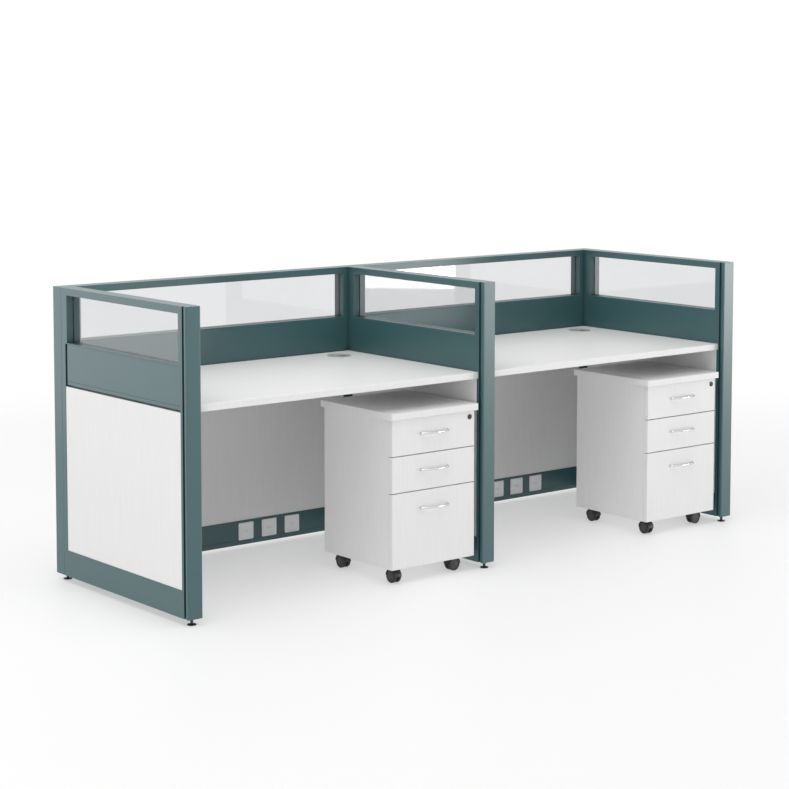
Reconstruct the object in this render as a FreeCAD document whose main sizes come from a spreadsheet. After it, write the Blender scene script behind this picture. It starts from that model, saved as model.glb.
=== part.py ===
"""A two-bay cubicle workstation: teal steel partitions with glass above the desks
and white boards below, two worktops, and a three-drawer pedestal on casters in
each bay.

Millimetres. X runs along the back wall to the right, Y runs from the open front
to the back wall, Z is up. The origin is on the floor, under the middle of the
whole workstation's length and depth.
"""
import FreeCAD, Part
import math
import os
import re
import Sketcher

doc = FreeCAD.newDocument("CubicleWorkstation")
sheet = doc.addObject("Spreadsheet::Sheet", "Sizes")

# Driving dimensions: alias, value, what it measures
SIZES = [
    ("bay_pitch", 1320, "middle of one side partition to the middle of the next"),
    ("panel_depth", 890, "front of the side partitions to the rear of the back wall"),
    ("panel_thickness", 60, "over both faces of a partition"),
    ("foot_gap", 24, "floor to the underside of the partitions"),
    ("tube_wall", 2, "sheet steel of the tubes and rails"),
    ("trim_depth", 13, "rounded trim on the front of a side partition"),
    ("trim_corner", 5, "rounding of the trim's front corners"),
    ("neck_length", 12, "shadow neck behind the front trim"),
    ("neck_inset", 8, "how far the neck is set in from each face"),
    ("front_stile", 12, "front stile behind its neck"),
    ("rear_stile", 26, "rear stile of a side partition"),
    ("jamb", 12, "window jamb beside the stiles of a side partition"),
    ("back_stile", 25, "stiles of the back partitions"),
    ("post_corner", 3, "rounding of the corner posts"),
    ("post_plug", 10, "solid plug in the foot of a post"),
    ("top_rail", 26, "height of the top rail"),
    ("window_height", 174, "sill to the underside of the top rail"),
    ("sill_plate", 4, "sheet of the window sill"),
    ("sill_core", 24, "rail under the window sill"),
    ("mid_rail", 36, "height of the rail between the board and the cover"),
    ("glass_thickness", 6, "window pane"),
    ("glass_bite", 8, "how deep the pane sits in its groove"),
    ("glass_play", 0.3, "play beside the pane"),
    ("cover_sheet", 2, "sheet of the covers"),
    ("cover_height", 148, "desk-level wireway cover"),
    ("cover_lip", 12, "lower lip of the desk-level cover"),
    ("lip_groove", 1.5, "width of the line above the lip"),
    ("lip_groove_depth", 1, "depth of the line above the lip"),
    ("cable_gap", 14, "open slot at the rear end of the outer covers"),
    ("seam", 0.5, "fitting gap between covers, boards and frame"),
    ("board_thickness", 12, "white infill board"),
    ("board_recess", 1, "infill board behind the frame's face"),
    ("board_rise", 4, "infill boards above the underside of the worktop"),
    ("cover_gap", 8.5, "infill board to the cover above it"),
    ("wireway_depth", 25, "base wireway in front of the back wall's rail"),
    ("wireway_sheet", 3, "moulded cover of the base wireway"),
    ("channel_depth", 1.5, "shallow channel that the sockets sit in"),
    ("channel_play", 1, "channel above and below the socket plates"),
    ("socket_width", 70, "socket plate"),
    ("socket_height", 68, "socket plate"),
    ("socket_plate", 3, "thickness of the socket plate"),
    ("socket_box", 50, "square box behind the socket plate"),
    ("socket_box_depth", 17, "box behind the socket plate"),
    ("socket_play", 1, "play around the box in the cover"),
    ("socket_rise", 19, "socket plate above the foot of the base wireway"),
    ("socket_head", 10, "socket plate below the top of the bottom rail"),
    ("socket_pitch", 111.25, "from one socket to the next"),
    ("socket_reach", 427.5, "middle socket from the bay's right partition, middle"),
    ("slot_width", 3, "contact slots in a socket"),
    ("slot_height", 9, "contact slots in a socket"),
    ("slot_depth", 12, "contact slots in a socket"),
    ("slot_pitch", 13, "between the two contact slots"),
    ("desk_top", 750, "floor to the top of the worktop"),
    ("desk_thickness", 25, "worktop board"),
    ("desk_setback", 28, "worktop's front edge behind the partition's front"),
    ("desk_rear_gap", 2, "worktop to the back wall"),
    ("desk_edge", 2, "rounding of the worktop's edges"),
    ("grommet_side", 130, "grommet from the right partition's inner face"),
    ("grommet_rear", 109, "grommet from the back wall's inner face"),
    ("grommet_hole", 80, "hole in the worktop"),
    ("grommet_flange", 95, "flange of the grommet"),
    ("flange_thickness", 2.5, "flange of the grommet"),
    ("sleeve_depth", 22, "grommet sleeve below the worktop's top"),
    ("sleeve_wall", 2.5, "wall of the grommet sleeve"),
    ("cap_thickness", 3, "turning cap of the grommet"),
    ("cap_ledge", 3, "ledge that the cap turns on"),
    ("cable_slot", 34, "width of the cap's cable slot"),
    ("cable_slot_depth", 34, "how far the cable slot reaches into the cap"),
    ("bracket_height", 38, "upright of the desk brackets"),
    ("bracket_flange", 40, "flange under the worktop"),
    ("bracket_sheet", 3, "sheet of the desk brackets"),
    ("bracket_setback", 300, "side brackets behind the partition's front"),
    ("bracket_rear_gap", 130, "side brackets to the back wall"),
    ("rear_bracket_length", 700, "bracket along the back wall"),
    ("foot_disc", 32, "levelling foot"),
    ("foot_disc_height", 5, "levelling foot"),
    ("foot_neck", 10, "nut and neck of the levelling foot"),
    ("foot_stud", 8, "stud in the post's plug"),
    ("foot_setback", 25, "front feet behind the trim's face"),
    ("bore_play", 0.16, "a bore over the pin or stud in it"),
    ("ped_width", 395, "pedestal body"),
    ("ped_depth", 410, "pedestal body with its drawer fronts"),
    ("ped_floor", 57, "floor to the underside of the pedestal"),
    ("ped_headroom", 88, "pedestal's top board below the worktop"),
    ("ped_side_gap", 31, "pedestal to the right partition's inner face"),
    ("ped_setback", 14, "drawer fronts behind the partition's front"),
    ("ped_travel_gap", 1, "drawer fronts in front of the body's edges"),
    ("carcass_board", 16, "boards of the pedestal body"),
    ("ped_top_thickness", 25, "top board of the pedestal"),
    ("ped_top_overhang", 10, "top board over the body"),
    ("front_thickness", 18, "drawer fronts"),
    ("front_gap", 3, "between two drawer fronts"),
    ("front_top_gap", 2, "above the upper drawer front"),
    ("front_edge", 1.5, "rounding of the drawer fronts"),
    ("shallow_front", 133, "height of the upper and middle drawer fronts"),
    ("drawer_wall", 12, "sides of the drawer boxes"),
    ("drawer_floor", 6, "floor of the drawer boxes"),
    ("drawer_rear_gap", 16, "drawer boxes to the back of the pedestal"),
    ("shallow_box_drop", 41, "box below the top of the upper and middle fronts"),
    ("file_box_drop", 48, "box below the top of the file drawer's front"),
    ("box_lift", 18, "drawer box above the lower edge of its front"),
    ("runner_play", 0.5, "running gap beside a drawer box"),
    ("runner_thickness", 12, "runner between drawer and body"),
    ("runner_height", 35, "runner"),
    ("runner_rear_gap", 25, "runner to the back of the pedestal"),
    ("runner_lift", 12, "runner above the underside of its drawer box"),
    ("handle_pitch", 128, "between the two feet of a handle"),
    ("handle_rod", 8, "rod of the handle"),
    ("handle_projection", 28, "handle in front of the drawer front"),
    ("handle_bend", 10, "bend of the handle, on the rod's middle"),
    ("handle_drop", 58, "handle below the top of its drawer front"),
    ("file_handle_drop", 64, "handle below the top of the file drawer's front"),
    ("lock_flange", 20, "rim of the lock"),
    ("lock_rim", 1.5, "thickness of the lock's rim"),
    ("lock_barrel", 16, "barrel of the lock"),
    ("lock_tail", 11, "tail that carries the cam"),
    ("lock_tail_length", 6, "tail behind the drawer front"),
    ("lock_side", 24, "lock from the side of the pedestal"),
    ("lock_drop", 21.5, "lock below the top of the upper drawer front"),
    ("cam_thickness", 2, "cam of the lock"),
    ("cam_width", 9, "cam of the lock"),
    ("cam_length", 13, "cam from the lock's axis"),
    ("key_slot", 1.2, "keyway"),
    ("key_slot_height", 7, "keyway"),
    ("key_slot_depth", 9, "keyway"),
    ("wheel_diameter", 50, "caster wheel"),
    ("wheel_width", 11.5, "one of a caster's twin wheels"),
    ("wheel_round", 2, "corner of the wheel's tread"),
    ("hub_diameter", 34, "recess around the wheel's hub"),
    ("hub_recess", 2, "recess around the wheel's hub"),
    ("web_thickness", 9, "caster housing between its wheels"),
    ("web_diameter", 40, "caster housing between its wheels"),
    ("wheel_gap", 0.5, "between a wheel and the housing"),
    ("axle", 6, "caster axle"),
    ("axle_play", 0.1, "wheel bore over the axle"),
    ("hood_gap", 1, "caster hood over the tread"),
    ("hood_wall", 1.8, "caster hood"),
    ("swivel_neck", 20, "collar under the pedestal"),
    ("swivel_stem", 10, "stem in the pedestal's bottom"),
    ("stem_length", 13, "stem in the pedestal's bottom"),
    ("stem_end_gap", 0.5, "space above the stem"),
    ("shoulder_gap", 0.3, "collar below the pedestal's bottom"),
    ("caster_trail", 15, "axle behind the swivel"),
    ("caster_side", 43, "swivel from the side of the pedestal"),
    ("caster_front", 60, "front swivels behind the drawer fronts"),
    ("caster_rear", 44, "rear swivels from the rear of the pedestal"),
    ("overrun", 1, "how far a cut runs past the faces it opens"),
]

for row, (alias, value, note) in enumerate(SIZES, start=1):
    sheet.set(f"A{row}", alias)
    sheet.set(f"B{row}", str(value))
    sheet.setAlias(f"B{row}", alias)
    sheet.set(f"C{row}", note)
doc.recompute()

# Sizes and places that follow from the driving dimensions
RULES = {
    "half_panel": "panel_thickness / 2",
    "half_core": "half_panel - board_recess - board_thickness",
    "inner_width": "bay_pitch - panel_thickness",
    "handle_overreach": "handle_projection - ped_setback",
    "front_y": "(handle_overreach - panel_depth) / 2",
    "back_y": "front_y + panel_depth",
    "wall_y": "back_y - panel_thickness",
    "wall_middle": "back_y - half_panel",
    "stile_y": "front_y + trim_depth",
    "neck_y": "stile_y + neck_length",
    "field_y": "neck_y + front_stile",
    "field_end": "wall_y - rear_stile",
    "plug_top": "foot_gap + post_plug",
    "base_top": "foot_gap + socket_rise + socket_height + socket_head",
    "socket_middle": "foot_gap + socket_rise + socket_height / 2",
    "desk_under": "desk_top - desk_thickness",
    "desk_depth": "panel_depth - panel_thickness - desk_setback - desk_rear_gap",
    "board_top": "desk_under + board_rise",
    "cover_low": "board_top + cover_gap",
    "sill_under": "cover_low + cover_height + seam",
    "sill_height": "sill_under + sill_plate",
    "rail_under": "sill_height + window_height",
    "frame_height": "rail_under + top_rail",
    "rail_face": "wall_y + wireway_depth",
    "channel_face": "wall_y + channel_depth",
    "ped_half": "ped_width / 2",
    "cavity_half": "ped_half - carcass_board",
    "ped_x": "bay_pitch - half_panel - ped_side_gap - ped_half",
    "ped_front": "front_y + ped_setback",
    "front_back": "ped_front + front_thickness",
    "ped_face": "front_back + ped_travel_gap",
    "ped_back": "ped_front + ped_depth",
    "ped_top": "desk_under - ped_headroom - ped_top_thickness",
    "cavity_back": "ped_back - carcass_board",
    "upper_top": "ped_top - front_top_gap",
    "middle_top": "upper_top - shallow_front - front_gap",
    "file_top": "middle_top - shallow_front - front_gap",
    "file_front": "file_top - ped_floor",
    "shallow_box": "shallow_front - box_lift - shallow_box_drop",
    "file_box": "file_front - box_lift - file_box_drop",
    "box_back": "cavity_back - drawer_rear_gap",
    "box_half": "cavity_half - runner_thickness - runner_play",
    "wheel_radius": "wheel_diameter / 2",
    "hood_radius": "wheel_radius + hood_gap + hood_wall",
    "neck_top": "ped_floor - shoulder_gap",
    "cap_radius": "grommet_hole / 2 - bore_play / 2 - sleeve_wall",
    "grommet_y": "wall_y - grommet_rear",
}

ALIASES = {alias for alias, value, note in SIZES}

# Middle lines of the three side partitions, and the left line of each bay
COLUMNS = [("left", "0 - bay_pitch"), ("middle", "0"), ("right", "bay_pitch")]
BAYS = [("left", "0 - bay_pitch"), ("right", "0")]
HANDS = [("left", -1), ("right", 1)]
SIDE_WINDOW = ("field_y + jamb", "field_end - jamb")

# How far each caster has swivelled from trailing to the rear, in degrees
CASTER_HEADINGS = {"front_left": 180, "front_right": 90, "rear_left": 180, "rear_right": 0}

UP = FreeCAD.Vector(0, 0, 1)
ALONG_X = FreeCAD.Rotation(FreeCAD.Vector(0, 1, 0), 90)
ALONG_Y = FreeCAD.Rotation(FreeCAD.Vector(1, 0, 0), -90)
UPRIGHT = FreeCAD.Rotation()
nodes = []


def formula(text):
    """Write a plain formula for the expression engine, rules worked out to sheet cells."""
    def swap(found):
        word = found.group(0)
        if word in RULES:
            return "(" + formula(RULES[word]) + ")"
        if word in ALIASES:
            return "Sizes." + word
        raise KeyError(word)
    return re.sub(r"[a-z][a-z_]*", swap, text)


def bind(thing, prop, text):
    """Tie a property to a formula of the named sizes."""
    thing.setExpression(prop, formula(text))


def move(thing, x="0", y="0", z="0", turn=UPRIGHT):
    """Put a piece at a place given by formulas."""
    thing.Placement = FreeCAD.Placement(FreeCAD.Vector(), turn)
    bind(thing, "Placement.Base.x", x)
    bind(thing, "Placement.Base.y", y)
    bind(thing, "Placement.Base.z", z)
    return thing


def box(name, xs, ys, zs):
    """A box between a low and a high formula on each axis."""
    made = doc.addObject("Part::Box", name)
    for prop, (low, high) in zip(("Length", "Width", "Height"), (xs, ys, zs)):
        bind(made, prop, f"({high}) - ({low})")
    return move(made, xs[0], ys[0], zs[0])


def rod(name, diameter, length, x="0", y="0", z="0", turn=UPRIGHT):
    """A cylinder that starts at a place and runs along the turned Z axis."""
    made = doc.addObject("Part::Cylinder", name)
    bind(made, "Radius", f"({diameter}) / 2")
    bind(made, "Height", length)
    return move(made, x, y, z, turn)


def fuse(name, pieces):
    made = doc.addObject("Part::MultiFuse", name)
    made.Shapes = pieces
    return made


def cut(name, base, tools):
    """Take one or more tools out of a base."""
    made = doc.addObject("Part::Cut", name)
    made.Base = base
    made.Tool = tools[0] if len(tools) == 1 else fuse(name + "_tools", tools)
    return made


def group(name, pieces):
    """Several like solids that share one node."""
    made = doc.addObject("Part::Compound", name)
    made.Links = pieces
    return made


def node(thing):
    """Keep a finished piece under its own name."""
    nodes.append(thing)


def span(middle, width):
    """Low and high formula of a width centred on a place."""
    return (f"{middle} - ({width}) / 2", f"{middle} + ({width}) / 2")


def slab(name, run, along, across, up):
    """A box of a partition that runs front to back or side to side."""
    if run == "side":
        return box(name, across, along, up)
    return box(name, along, across, up)


def layer(middle, face, near, far):
    """Low and high formula from near to far out of a partition's middle."""
    if face > 0:
        return (f"{middle} + ({near})", f"{middle} + ({far})")
    return (f"{middle} - ({far})", f"{middle} - ({near})")


def outline(body, plane, corners):
    """A closed sketch of straight edges, each corner tied to two formulas."""
    sketch = body.newObject("Sketcher::SketchObject", body.Name + "_outline")
    support = [item for item in body.Origin.OriginFeatures if item.Role == plane][0]
    sketch.AttachmentSupport = [(support, "")]
    sketch.MapMode = "FlatFace"
    count = len(corners)
    drawn = []
    for index in range(count):
        angle = math.tau * index / count
        drawn.append(FreeCAD.Vector(math.cos(angle), math.sin(angle), 0))
    for index in range(count):
        sketch.addGeometry(Part.LineSegment(drawn[index], drawn[(index + 1) % count]))
    for index in range(count):
        follow = (index + 1) % count
        sketch.addConstraint(Sketcher.Constraint("Coincident", index, 2, follow, 1))
    for index, corner in enumerate(corners):
        for kind, text, now in zip(("DistanceX", "DistanceY"), corner, drawn[index]):
            row = sketch.addConstraint(Sketcher.Constraint(kind, -1, 1, index, 1, now))
            bind(sketch, f"Constraints[{row}]", text)
    return sketch


def turned(name, corners):
    """A body turned about its own Z axis from a half section of radius and height."""
    body = doc.addObject("PartDesign::Body", name)
    sketch = outline(body, "XZ_Plane", corners)
    feature = body.newObject("PartDesign::Revolution", name + "_turning")
    feature.Profile = sketch
    feature.ReferenceAxis = (sketch, ["V_Axis"])
    feature.Angle = 360
    return body


def board(name, xs, ys, height, edge, chosen):
    """A body padded up from a rectangle, with the chosen edges rounded."""
    body = doc.addObject("PartDesign::Body", name)
    corners = [(xs[0], ys[0]), (xs[1], ys[0]), (xs[1], ys[1]), (xs[0], ys[1])]
    sketch = outline(body, "XY_Plane", corners)
    pad = body.newObject("PartDesign::Pad", name + "_pad")
    pad.Profile = sketch
    bind(pad, "Length", height)
    doc.recompute([sheet, sketch, pad])
    names = []
    for index, line in enumerate(pad.Shape.Edges, start=1):
        if chosen(line.BoundBox, pad.Shape.BoundBox):
            names.append(f"Edge{index}")
    rounding = body.newObject("PartDesign::Fillet", name + "_rounding")
    rounding.Base = (pad, names)
    bind(rounding, "Radius", edge)
    return body


def any_upright(line, bounds):
    """All four upright edges."""
    return line.ZLength > bounds.ZLength / 2


def front_upright(line, bounds):
    """The two upright edges at the front."""
    return line.ZLength > bounds.ZLength / 2 and line.YMax < bounds.Center.y


def front_face(line, bounds):
    """The four edges around the front face."""
    return line.YMax < bounds.Center.y


def front_long(line, bounds):
    """The upper and lower edge along the front."""
    return line.YMax < bounds.Center.y and line.XLength > bounds.XLength / 2


def stile(name, run, middle, along, thickness):
    """A hollow upright of a partition, closed above, and the hollow to cut out."""
    low, high = along
    tube = slab(name, run, along, span(middle, thickness), ("foot_gap", "frame_height"))
    inside = slab(name + "_inside", run, (f"{low} + tube_wall", f"{high} - tube_wall"),
                  span(middle, f"{thickness} - tube_wall * 2"),
                  ("plug_top", "frame_height - tube_wall"))
    return tube, inside


def rails(name, run, middle, field, window, base_across):
    """The welded rails between the stiles, and the hollows to cut out of them."""
    core = span(middle, "half_core * 2")
    full = span(middle, "panel_thickness")
    inner = span(middle, "panel_thickness - tube_wall * 2")
    solids = [
        slab(name + "_top_rail", run, field, full, ("rail_under", "frame_height")),
        slab(name + "_sill", run, field, full, ("sill_under", "sill_height")),
        slab(name + "_sill_rail", run, field, core, ("sill_under - sill_core", "sill_under")),
        slab(name + "_mid_rail", run, field, core,
             span("(board_top + cover_low) / 2", "mid_rail")),
        slab(name + "_base", run, field, base_across, ("foot_gap", "base_top")),
    ]
    hollows = [
        slab(name + "_top_inside", run, field, inner,
             ("rail_under + glass_bite + tube_wall", "frame_height - tube_wall")),
        slab(name + "_base_inside", run, field,
             (f"{base_across[0]} + tube_wall", f"{base_across[1]} - tube_wall"),
             ("foot_gap + tube_wall", "base_top - tube_wall")),
        slab(name + "_groove", run,
             (f"{window[0]} - glass_bite", f"{window[1]} + glass_bite"),
             span(middle, "glass_thickness + glass_play * 2"),
             ("sill_height - glass_bite", "rail_under + glass_bite")),
    ]
    return solids, hollows


def foot_bore(name, x, y):
    """The bore for a levelling foot's stud, up through the plug."""
    return rod(name, "foot_stud + bore_play", "post_plug + overrun * 2",
               x, y, "foot_gap - overrun")


def side_frame(name, x):
    """One side partition's steel frame, from its front neck to the corner post."""
    full = span(x, "panel_thickness")
    neck, neck_inside = stile(name + "_neck", "side", x, ("stile_y", "field_y"),
                              "(panel_thickness - neck_inset * 2)")
    rear, rear_inside = stile(name + "_rear", "side", x, ("field_end", "wall_y"),
                              "panel_thickness")
    face = slab(name + "_front", "side", ("neck_y", "field_y"), full,
                ("foot_gap", "frame_height"))
    face_inside = slab(name + "_front_inside", "side",
                       ("neck_y + tube_wall", "field_y - tube_wall"),
                       span(x, "(panel_thickness - tube_wall * 2)"),
                       ("plug_top", "frame_height - tube_wall"))
    window_up = ("sill_under", "frame_height")
    front_jamb = slab(name + "_front_jamb", "side", ("field_y", "field_y + jamb"),
                      full, window_up)
    rear_jamb = slab(name + "_rear_jamb", "side", ("field_end - jamb", "field_end"),
                     full, window_up)
    solids, hollows = rails(name, "side", x, ("field_y", "field_end"), SIDE_WINDOW, full)
    bore = foot_bore(name + "_foot_bore", x, "front_y + foot_setback")
    whole = fuse(name + "_welded", [neck, face, rear, front_jamb, rear_jamb] + solids)
    node(cut(name, whole, hollows + [neck_inside, face_inside, rear_inside, bore]))


def back_frame(name, left):
    """One back partition's steel frame, between two corner posts."""
    start = f"{left} + half_panel"
    end = f"{left} + bay_pitch - half_panel"
    field = back_field(left)
    first, first_inside = stile(name + "_first", "back", "wall_middle",
                                (start, field[0]), "panel_thickness")
    last, last_inside = stile(name + "_last", "back", "wall_middle",
                              (field[1], end), "panel_thickness")
    solids, hollows = rails(name, "back", "wall_middle", field, field,
                            ("rail_face", "back_y"))
    shelf = slab(name + "_shelf", "back", field, ("wall_y", "rail_face"),
                 ("base_top - tube_wall", "base_top"))
    whole = fuse(name + "_welded", [first, last, shelf] + solids)
    node(cut(name, whole, hollows + [first_inside, last_inside]))


def back_field(left):
    """Low and high formula between the two stiles of a back partition."""
    inset = "half_panel - back_stile"
    return (f"{left} + half_panel + back_stile", f"{left} + bay_pitch - {inset}")


def corner_post(name, x):
    """One hollow post at the back, with a plug and a bore for its foot."""
    square = span("0", "panel_thickness")
    post = board(name + "_outer", square, square, "frame_height - foot_gap",
                 "post_corner", any_upright)
    move(post, x, "wall_middle", "foot_gap")
    inner = "(panel_thickness - tube_wall * 2)"
    inside = box(name + "_inside", span(x, inner), span("wall_middle", inner),
                 ("plug_top", "frame_height - tube_wall"))
    return cut(name, post, [inside, foot_bore(name + "_foot_bore", x, "wall_middle")])


def front_trim(name, x):
    """The rounded trim that closes the front of a side partition."""
    trim = board(name, span("0", "panel_thickness"), ("0", "trim_depth"),
                 "frame_height - foot_gap", "trim_corner", front_upright)
    return move(trim, x, "front_y", "foot_gap")


def pane(name, run, middle, window):
    """A pane that stands in the groove around its window."""
    hold = "(glass_bite - glass_play)"
    return slab(name, run, (f"{window[0]} - {hold}", f"{window[1]} + {hold}"),
                span(middle, "glass_thickness"),
                ("sill_height - glass_bite", f"rail_under + {hold}"))


def infill(name, run, middle, face, along):
    """A white board between the stiles, standing on the bottom rail."""
    near = "half_panel - board_recess - board_thickness"
    return slab(name, run, along, layer(middle, face, near, "half_panel - board_recess"),
                ("base_top", "board_top"))


def cover(name, run, middle, face, along):
    """A desk-level wireway cover: a folded tray with a line above its lower lip."""
    low, high = along
    top = "cover_low + cover_height"
    tray = slab(name + "_tray", run, along,
                layer(middle, face, "half_core", "half_panel"), ("cover_low", top))
    inside = slab(name + "_inside", run, (f"{low} + cover_sheet", f"{high} - cover_sheet"),
                  layer(middle, face, "half_core - overrun", "half_panel - cover_sheet"),
                  ("cover_low + cover_sheet", f"{top} - cover_sheet"))
    line = slab(name + "_line", run, (f"{low} - overrun", f"{high} + overrun"),
                layer(middle, face, "half_panel - lip_groove_depth", "half_panel + overrun"),
                ("cover_low + cover_lip", "cover_low + cover_lip + lip_groove"))
    return cut(name, tray, [inside, line])


def socket_places(left):
    """Across places of a bay's three sockets."""
    middle = f"{left} + bay_pitch - socket_reach"
    return [f"{middle} + socket_pitch * ({step})" for step in (-1, 0, 1)]


def base_wireway(name, left):
    """The cover along the foot of the back wall, open for the bay's three sockets."""
    start, end = back_field(left)
    top = "base_top - tube_wall"
    shell = box(name + "_shell", (start, end), ("wall_y", "rail_face"), ("foot_gap", top))
    inside = box(name + "_inside",
                 (f"{start} + wireway_sheet", f"{end} - wireway_sheet"),
                 ("wall_y + wireway_sheet", "rail_face + overrun"),
                 ("foot_gap + wireway_sheet", f"{top} - wireway_sheet"))
    channel = box(name + "_channel", (f"{start} - overrun", f"{end} + overrun"),
                  ("wall_y - overrun", "channel_face"),
                  span("socket_middle", "(socket_height + channel_play * 2)"))
    tools = [inside, channel]
    opening = "(socket_box + socket_play * 2)"
    for number, x in enumerate(socket_places(left), start=1):
        tools.append(box(f"{name}_opening_{number}", span(x, opening),
                         ("wall_y", "wall_y + wireway_sheet + overrun"),
                         span("socket_middle", opening)))
    return cut(name, shell, tools)


def socket(name, x):
    """A socket plate with its box behind it and two contact slots."""
    face = "channel_face - socket_plate"
    plate = box(name + "_plate", span(x, "socket_width"), (face, "channel_face"),
                span("socket_middle", "socket_height"))
    rear = box(name + "_box", span(x, "socket_box"),
               ("channel_face", "channel_face + socket_box_depth"),
               span("socket_middle", "socket_box"))
    slots = []
    for hand, out in HANDS:
        slots.append(box(f"{name}_{hand}_slot",
                         span(f"{x} + slot_pitch / 2 * ({out})", "slot_width"),
                         (f"{face} - overrun", f"{face} + slot_depth"),
                         span("socket_middle", "slot_height")))
    return cut(name, fuse(name + "_whole", [plate, rear]), slots)


def worktop(name, left):
    """A worktop board between two side partitions, with a hole for the grommet."""
    blank = board(name + "_blank", span("0", "(inner_width - seam * 2)"),
                  ("0", "desk_depth"), "desk_thickness", "desk_edge", front_long)
    move(blank, f"{left} + bay_pitch / 2", "front_y + desk_setback", "desk_under")
    hole = rod(name + "_hole", "grommet_hole", "desk_thickness + overrun * 2",
               grommet_x(left), "grommet_y", "desk_under - overrun")
    node(cut(name, blank, [hole]))


def grommet_x(left):
    """Across place of a bay's grommet."""
    return f"{left} + bay_pitch - half_panel - grommet_side"


def grommet_sleeve(name, x):
    """The flanged sleeve in the worktop's hole, with a ledge for its cap."""
    bore = "cap_radius + bore_play / 2"
    outer = "grommet_hole / 2 - bore_play / 2"
    ledge = "flange_thickness - cap_thickness"
    rim = "grommet_flange / 2"
    throat = "cap_radius - cap_ledge"
    sleeve = turned(name, [
        (bore, "flange_thickness"), (rim, "flange_thickness"), (rim, "0"), (outer, "0"),
        (outer, "0 - sleeve_depth"), (throat, "0 - sleeve_depth"), (throat, ledge),
        (bore, ledge)])
    return move(sleeve, x, "grommet_y", "desk_top")


def grommet_cap(name, x):
    """The turning cap with a slot for cables at its rim."""
    top = "desk_top + flange_thickness"
    disc = rod(name + "_disc", "cap_radius * 2", "cap_thickness", x, "grommet_y",
               f"{top} - cap_thickness")
    slot = box(name + "_slot", span(x, "cable_slot"),
               ("grommet_y - cap_radius - overrun",
                "grommet_y - cap_radius + cable_slot_depth"),
               (f"{top} - cap_thickness - overrun", f"{top} + overrun"))
    node(cut(name, disc, [slot]))


def angle_bracket(name, run, middle, face, along):
    """A folded steel angle: its upright on the partition, its flange under the desk."""
    flush = "half_panel - board_recess"
    upright = slab(name + "_upright", run, along,
                   layer(middle, face, flush, f"{flush} + bracket_sheet"),
                   ("desk_under - bracket_height", "desk_under"))
    flange = slab(name + "_flange", run, along,
                  layer(middle, face, flush, f"{flush} + bracket_flange"),
                  ("desk_under - bracket_sheet", "desk_under"))
    return fuse(name, [upright, flange])


def levelling_foot(name, x, y):
    """A turned foot with its stud in the plug of a post."""
    foot = turned(name, [
        ("0", "0"), ("foot_disc / 2", "0"), ("foot_disc / 2", "foot_disc_height"),
        ("foot_neck / 2", "foot_disc_height"), ("foot_neck / 2", "foot_gap"),
        ("foot_stud / 2", "foot_gap"), ("foot_stud / 2", "plug_top"), ("0", "plug_top")])
    return move(foot, x, y)


def make_side_partitions():
    """Side frames, trims, posts, feet, and the glass, boards and covers they hold."""
    field = ("field_y", "field_end")
    for side, x in COLUMNS:
        side_frame(f"{side}_side_frame", x)
        posts.append(corner_post(f"{side}_post", x))
        trims.append(front_trim(f"{side}_trim", x))
        panes.append(pane(f"{side}_pane", "side", x, SIDE_WINDOW))
        feet.append(levelling_foot(f"{side}_front_foot", x, "front_y + foot_setback"))
        feet.append(levelling_foot(f"{side}_rear_foot", x, "wall_middle"))
        for hand, out in HANDS:
            end = "field_end - cable_gap" if side == hand else "field_end - seam"
            boards.append(infill(f"{side}_{hand}_board", "side", x, out, field))
            covers.append(cover(f"{side}_{hand}_cover", "side", x, out,
                                ("field_y + seam", end)))


def make_back_partitions():
    """Back frames, and the glass, boards, covers and sockets they hold."""
    for side, left in BAYS:
        back_frame(f"back_frame_{side}", left)
        low, high = back_field(left)
        panes.append(pane(f"back_{side}_pane", "back", "wall_middle", (low, high)))
        for face, out in (("inner", -1), ("outer", 1)):
            tag = f"back_{side}_{face}"
            boards.append(infill(f"{tag}_board", "back", "wall_middle", out, (low, high)))
            covers.append(cover(f"{tag}_cover", "back", "wall_middle", out,
                                (f"{low} + seam", f"{high} - seam")))
        covers.append(base_wireway(f"base_wireway_{side}", left))
        for number, x in enumerate(socket_places(left), start=1):
            sockets.append(socket(f"{side}_socket_{number}", x))


def make_desks():
    """Worktops with their grommets, and the brackets that carry them."""
    start = "front_y + bracket_setback"
    for side, left in BAYS:
        worktop(f"{side}_worktop", left)
        sleeves.append(grommet_sleeve(f"{side}_sleeve", grommet_x(left)))
        grommet_cap(f"{side}_grommet_cap", grommet_x(left))
        ends = (("left", left, 1), ("right", f"{left} + bay_pitch", -1))
        for hand, x, face in ends:
            brackets.append(angle_bracket(f"{side}_desk_{hand}", "side", x, face,
                                          (start, "wall_y - bracket_rear_gap")))
        brackets.append(angle_bracket(f"{side}_desk_rear", "back", "wall_middle", -1,
                                      span(f"{left} + bay_pitch / 2",
                                           "rear_bracket_length")))


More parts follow.
